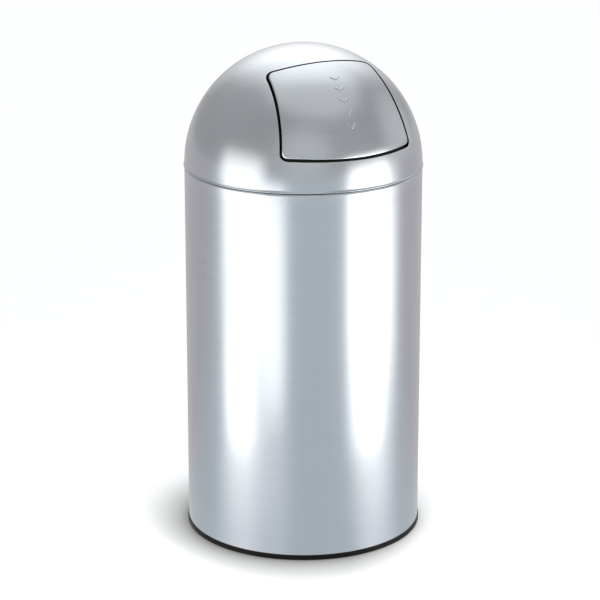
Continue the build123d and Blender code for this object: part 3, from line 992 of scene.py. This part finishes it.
def make_dome():
    """The spun dome with its rim bead and hemmed opening, in rings over the outside, round
    the opening's edge and hem, and back along the inside to the rim."""
    rings, marks = [], []

    def add(mark, *more):
        """Rings that share a mark."""
        rings.extend(more)
        marks.extend([mark] * len(more) * EDGE_POINTS)

    def turns(steps):
        """Even angles through a quarter turn."""
        return [pi / 2 * k / steps for k in range(steps + 1)]

    ends = rim_ends()
    outline = opening_outline(opening_round, opening_round)
    add(0, *dome_rings(outline, body_radius, DOME_OUTSIDE_STEPS, ends)[:0:-1])
    for turn in turns(6):
        grown = opening_round * (1 - sin(turn))
        reach = body_radius - opening_round * (1 - cos(turn))
        add(1, ring_on_sphere(opening_outline(grown, grown), reach))
    add(0.5, ring_on_sphere(opening_outline(0, 0), dome_inside))
    for turn in turns(4):
        grown = hem_round * (1 - cos(turn))
        reach = hem_inside + hem_round * (1 - sin(turn))
        add(1, ring_on_sphere(opening_outline(grown, grown), reach))
    for share in (0.3, 0.65, 1.0):
        side, top = (hem_round + share * (width - hem_round) for width in (hem_width, hem_top))
        add(0.2, ring_on_sphere(opening_outline(side, top), hem_inside))
    outline = opening_outline(hem_width, hem_top)
    inner = dome_rings(outline, dome_inside, DOME_INSIDE_STEPS, ends)
    add(0, *inner)
    rim = rounded(
        [
            (dome_inside, dome_centre),
            (dome_inside, seam, 0.15 * MM),
            (body_radius + rim_proud, seam, rim_round),
            (body_radius + rim_proud, seam + rim_flat, 0.5 * MM),
            (body_radius, dome_centre),
        ],
        closed=False,
    )
    ways = [Vector((x, y)).normalized() for x, y, _ in inner[-1]]
    for radius, height in rim[1:-1]:
        add(0, [(way.x * radius, way.y * radius, height) for way in ways])
    from_rings("dome_skin", rings, marks, True, "lid_dome", "lid", dome_finish)


make_dome()
collar_profile = [
    (collar_inside, collar_foot, 0.5 * MM),
    (collar_outside, collar_foot, 0.5 * MM),
    (collar_outside, collar_seat, 0.1 * MM),
    (dome_inside - seated_gap, collar_seat, 0.15 * MM),
    (dome_inside - seated_gap, dome_centre, 0.15 * MM),
    (collar_upper, dome_centre),
    (collar_upper, collar_top, 0.3 * MM),
    (collar_upper - collar_wall, collar_top, 0.5 * MM),
    (collar_upper - collar_wall, collar_seat + collar_wall, 0.4 * MM),
    (collar_inside, collar_seat + collar_wall, 0.4 * MM),
]
turned(
    "collar_moulding", rounded(collar_profile), "lid_collar", "lid",
    collar_finish,
)


# --- flap -----------------------------------------------------------------------------
def make_flap():
    """The flap with its turned-in edge: rings out from the middle of its face, round its
    edge, over the lip, and back to the middle along its inside."""
    low_half = along_dome(flap_half_low) - side_gap / 2
    low_side = along_dome(flap_low_side) + low_gap / 2
    low_middle = along_dome(flap_low_middle) + low_gap / 2
    low_bow = bow(low_half, low_side, low_middle)
    middle = (0.0, along_dome(flap_middle))
    rings, marks = [], []

    def add(outline, depth, mark, rolled=1.0):
        """A ring at a depth in the sheet, dropped where the low edge is rolled in."""
        ring = []
        for x, y in outline:
            above_edge = y - low_bow + sqrt((low_bow - low_middle) ** 2 - x**2)
            fall = max(0, 1 - above_edge / roll_width)
            ring.append(on_sphere(x, y, body_radius - depth - rolled * roll_drop * fall**2))
            # the edge mark, which lightens the steel, is full along the rolled low edge and a
            # quarter elsewhere: edge wear, and a painted highlight along the low edge
            marks.append(mark * (0.25 + 0.75 * min(1, 2 * fall)))
        rings.append(ring)

    def towards_middle(outline, share):
        """An outline shrunk to a share about the face's middle."""
        return [part_way(middle, point, share) for point in outline]

    face_steps, edge_steps, inside_steps = 44, 8, 16
    for k in range(face_steps):
        share = sin(pi / 2 * k / face_steps)
        add(towards_middle(panel_outline(flap_edge_round), share), 0, 0)
    for k in range(edge_steps + 1):
        turn = pi / 2 * k / edge_steps
        inset, depth = flap_edge_round * (1 - sin(turn)), flap_edge_round * (1 - cos(turn))
        add(panel_outline(inset), depth, 1 - k / 10)
    inside = flap_sheet + flap_inner_corner
    for inset, depth in (
        (0, flap_return - flap_lip_round),
        (flap_lip_round, flap_return),
        (flap_sheet - flap_lip_round, flap_return),
        (flap_sheet, flap_return - flap_lip_round),
        (flap_sheet, inside),
        (inside, flap_sheet),
    ):
        add(panel_outline(inset), depth, 0.5, rolled=0)
    for k in range(1, inside_steps + 1):
        share = 1 - k / inside_steps
        add(towards_middle(panel_outline(inside), share), flap_sheet, 0, rolled=0)
    from_rings(
        "flap_skin", rings, marks, False, "flap_panel", "flap", flap_finish
    )


make_flap()
push_marks = {
    "Count": mark_count,
    "Lowest Angle": punch_angle + mark_low_angle,
    "Highest Angle": punch_angle + mark_high_angle,
    "Reach": body_radius,
    "Centre Height": dome_centre,
    "Width": mark_width - mark_arm / 2,
    "Drop": mark_drop,
    "Arm": mark_arm,
    "Rise": mark_rise,
    "Finish": flap_finish,
}
placed(
    "push_marks", evaluated("push_marks", push_mark_tree(), push_marks),
    body="flap",
)

# --- bucket ---------------------------------------------------------------------------
rim_curl = arc(
    (bucket_top_radius - bucket_sheet + bucket_bead, bucket_rim - bucket_bead),
    bucket_bead - bucket_sheet / 2, -90, 270, BUCKET_CURL_STEPS,
)
bucket_floor = bucket_base + bucket_sheet / 2
bucket_foot = (bucket_bottom_radius - bucket_sheet / 2, bucket_floor)
bucket_line = rim_curl + rounded(
    [rim_curl[-1], bucket_foot, (0, bucket_floor)], bucket_corner, closed=False
)[1:]
turned(
    "bucket_wall", sheet(divided(bucket_line, LONGEST_RUN), bucket_sheet),
    "bucket", "bucket", bucket_finish,
)
rivets = {
    "Count": rivet_count,
    "Pitch": rivet_pitch,
    "Top Height": bucket_rim - rivet_first_drop,
    "Outer Reach": bucket_top_radius - bucket_taper * rivet_first_drop,
    "Taper": bucket_taper,
    "Inner Reach": ear_inner_face,
    "Head Radius": rivet_head_radius,
    "Head Depth": rivet_head,
    "Finish": rivet_finish,
}
placed(
    "rivet_heads", evaluated("rivet_heads", rivet_tree(), rivets),
    "ear_rivets", "bucket",
)

# --- table ----------------------------------------------------------------------------
view_side = radians(-26.6)  # the camera's place round the bin's axis
table_half = 8.0


def seen_from(azimuth, distance=1, height=0):
    """A place round the bin, its azimuth in degrees to the right of where the camera is."""
    a = view_side + radians(azimuth)
    return Vector((distance * sin(a), -distance * cos(a), height))


def painted_light_strip(place, turn, width, least, most):
    """A mask for a painted light strip, seen in the steel's reflections, that runs out over the
    table from the wall at a turn round the bin, as wide as the wall mirrors within an angle
    each side of it, and stronger further out."""
    off = vectors("SUBTRACT", place, seen_from(turn, body_radius))
    out, across = (along(off, seen_from(way)) for way in (2 * turn, 2 * turn + 90))
    spread = plus(times(maths("MAXIMUM", out, 0.0), 2.0), body_radius * cos(radians(turn)))
    turned_by = maths("ABSOLUTE", over(across, spread))
    share = ranged(turned_by, radians(width), 0.0, smooth=True)
    begins = ranged(out, -0.02, 0.0)
    grows = ranged(out, 0.03, 0.14, least, most)
    ends = ranged(out, 0.14, 0.27, 1.0, 0.0)
    return times(share, begins, grows, ends)


def pale_table():
    """The table's finish, with painted light. The camera sees it white with a faint painted
    glow and a painted shadow round the bin's foot. The steel mirrors only painted tones of its
    own, glowing: paler before the bin than behind it, and palest in painted light strips under
    the light panels."""
    made, place = blank("pale_table")
    tree = made.node_tree
    fibre = noise(place, 40.0, 4.0)
    ray = put("ShaderNodeLightPath", tree=tree).outputs
    # a painted shadow round the bin's foot, from an occlusion node, painted paler towards the
    # bin's right side
    near = got("ShaderNodeAmbientOcclusion", {"Distance": 0.05}, "AO", tree=tree)
    shade = ranged(near, 0.48, 0.94, 0.2, 1.0)
    painted_lift_on_right = ranged(along(place, seen_from(90)), 0.03, 0.085, 0.0, 0.6)
    shade = plus(shade, times(minus(1.0, shade), painted_lift_on_right))
    white = mixed(fibre, colour(0.825, 0.88, 0.905), colour(0.845, 0.90, 0.925))
    # the table's white, darkened by the painted shadow
    white = mixed(shade, colour(0, 0, 0), white)
    ahead = ranged(along(place, seen_from(0)), -0.15, 0.05)
    painted_reflection = mixed(ahead, colour(0.66, 0.605, 0.615), colour(0.745, 0.765, 0.78))
    # each painted light strip's turn and half its width in degrees, and its strength close by
    # and far out
    for strip in ((-31, 21, 0.5, 0.95), (-14, 12, 0.2, 0.35), (37, 20, 0.5, 0.95)):
        painted_reflection = mixed(painted_light_strip(place, *strip), painted_reflection, colour(1.66, 1.56, 1.54))
    glossy = ray["Is Glossy Ray"]
    # the steel's reflections see no lit table, only the painted tones glowing; the camera sees
    # a faint painted glow, darkened by the painted shadow
    seen = {
        "Base Color": mixed(glossy, white, colour(0, 0, 0)),
        "Emission Color": mixed(glossy, colour(1, 1, 1), painted_reflection),
        "Emission Strength": plus(times(ray["Is Camera Ray"], 0.15, shade), glossy),
        "Roughness": ranged(fibre, 0.3, 0.7, 0.7, 0.8),
        "Specular IOR Level": 0.2,
    }
    feed(tree.nodes["Principled BSDF"].inputs, seen)
    return made


floor_mesh = bpy.data.meshes.new("pale_table")
corners = [(x * table_half, y * table_half, 0) for x, y in ((-1, -1), (1, -1), (1, 1), (-1, 1))]
floor_mesh.from_pydata(corners, [], [(0, 1, 2, 3)])
floor = bpy.data.objects.new("pale_table", floor_mesh)
bpy.context.scene.collection.objects.link(floor)
floor.data.materials.append(pale_table())


# --- lights ---------------------------------------------------------------------------
def new_lamp(name, shape, size, power, place, **settings):
    """A lamp that faces down until it is turned, and that the camera doesn't see."""
    lamp = bpy.data.lights.new(name, "AREA")
    lamp.shape = shape
    lamp.size = size
    lamp.energy = power
    for setting, value in settings.items():
        setattr(lamp, setting, value)
    made = bpy.data.objects.new(name, lamp)
    made.location = place
    made.visible_camera = False
    bpy.context.scene.collection.objects.link(made)
    return made


def soft_light(name, azimuth, distance, low, high, width, power, side_fade, low_fade, top_fade):
    """A standing light panel that faces the bin, its glow fading towards its edges. Each
    fade is a share of the panel; at its foot the glow falls to a third."""
    place = seen_from(azimuth, distance, (low + high) / 2)
    made = new_lamp(
        name, "RECTANGLE", width, power, place,
        size_y=high - low, color=(1.0, 0.915, 0.865), use_nodes=True,
    )
    tree = made.data.node_tree
    at = apart(got("ShaderNodeNewGeometry", tree=tree, result="Parametric"))
    off = maths("ABSOLUTE", minus(at["X"], 0.5))
    strength = times(
        ranged(off, 0.5, 0.5 - side_fade, smooth=True),
        ranged(at["Y"], 0.0, low_fade, 0.33, 1.0, smooth=True),
        ranged(at["Y"], 1.0, 1.0 - top_fade, smooth=True),
    )
    emission = next(n for n in tree.nodes if n.type == "EMISSION")
    tree.links.new(strength, emission.inputs["Strength"])
    made.rotation_mode = "QUATERNION"
    made.rotation_quaternion = Vector((place.x, place.y, 0)).to_track_quat("Z", "Y")


# name, azimuth, distance, foot, top, width, power, and its fades at sides, foot and top
for panel in (
    ("left_panel", -53, 0.245, 0.003, 0.333, 0.24, 0.40, 0.26, 0.4, 0.24),
    ("left_foot", -55, 0.225, 0.003, 0.12, 0.16, 0.085, 0.35, 0.2, 0.5),
    ("left_strip", -25, 0.30, 0.003, 0.24, 0.16, 0.18, 0.4, 0.15, 0.3),
    ("right_panel", 57, 0.245, 0.003, 0.295, 0.225, 0.56, 0.26, 0.4, 0.24),
    ("right_side", 74, 0.245, 0.003, 0.30, 0.20, 0.23, 0.4, 0.3, 0.55),
    ("right_foot", 57, 0.225, 0.003, 0.12, 0.16, 0.065, 0.35, 0.2, 0.5),
):
    soft_light(*panel)

# soft lamps that light the table and don't show in the steel
for name, azimuth, power in (("left_table", -52, 0.048), ("right_table", 54, 0.040)):
    lamp = new_lamp(
        name, "DISK", 0.09, power, seen_from(azimuth, 0.19, 0.12), spread=radians(100)
    )
    lamp.visible_glossy = False


def light_tent():
    """The tent round the bin: an even glow with soft round patches. Seen straight on, it is
    as pale as the table."""
    world = bpy.data.worlds.new("light_tent")
    world.use_nodes = True
    tree = world.node_tree
    way = got("ShaderNodeTexCoord", tree=tree, result="Generated")
    tent = 0.54
    # azimuth, elevation, half width and brightest core in degrees, and strength
    for azimuth, elevation, half_width, core, strength in (
        (180, 52, 42, 0, 1.0),
        (180, 28, 36, 0, 0.80),
        (100, 82, 42, 26, 0.40),
        (0, 20, 36, 0, 0.32),
        (115, 8, 34, 0, 0.35),
        (240, 52, 45, 0, 0.07),
        (45, 20, 45, 0, 0.06),
    ):
        e = radians(elevation)
        near = along(way, seen_from(azimuth, cos(e), sin(e)))
        ends = (cos(radians(half_width)), cos(radians(core)))
        tent = plus(ranged(near, *ends, 0.0, strength, smooth=True), tent)
    seen = got("ShaderNodeLightPath", tree=tree, result="Is Camera Ray")
    tent = plus(times(minus(1.0, seen), tent), seen)
    tone = mixed(seen, colour(1.0, 0.955, 0.935), colour(0.98, 0.98, 0.98))
    feed(tree.nodes["Background"].inputs, {"Strength": tent, "Color": tone})
    return world


bpy.context.scene.world = light_tent()
bpy.context.scene.view_settings.view_transform = "Standard"

# --- camera ---------------------------------------------------------------------------
camera_distance, camera_height = 1.529, 0.6287
camera_tilt, camera_turn = 0.3045, 0.0014
camera = bpy.data.cameras.new("camera")
camera.lens = 150.0
camera.sensor_width = 36.0
eye = bpy.data.objects.new("camera", camera)
eye.location = seen_from(0, camera_distance, camera_height)
eye.rotation_euler = (radians(90) - camera_tilt, 0, view_side + camera_turn)
bpy.context.scene.collection.objects.link(eye)
bpy.context.scene.camera = eye
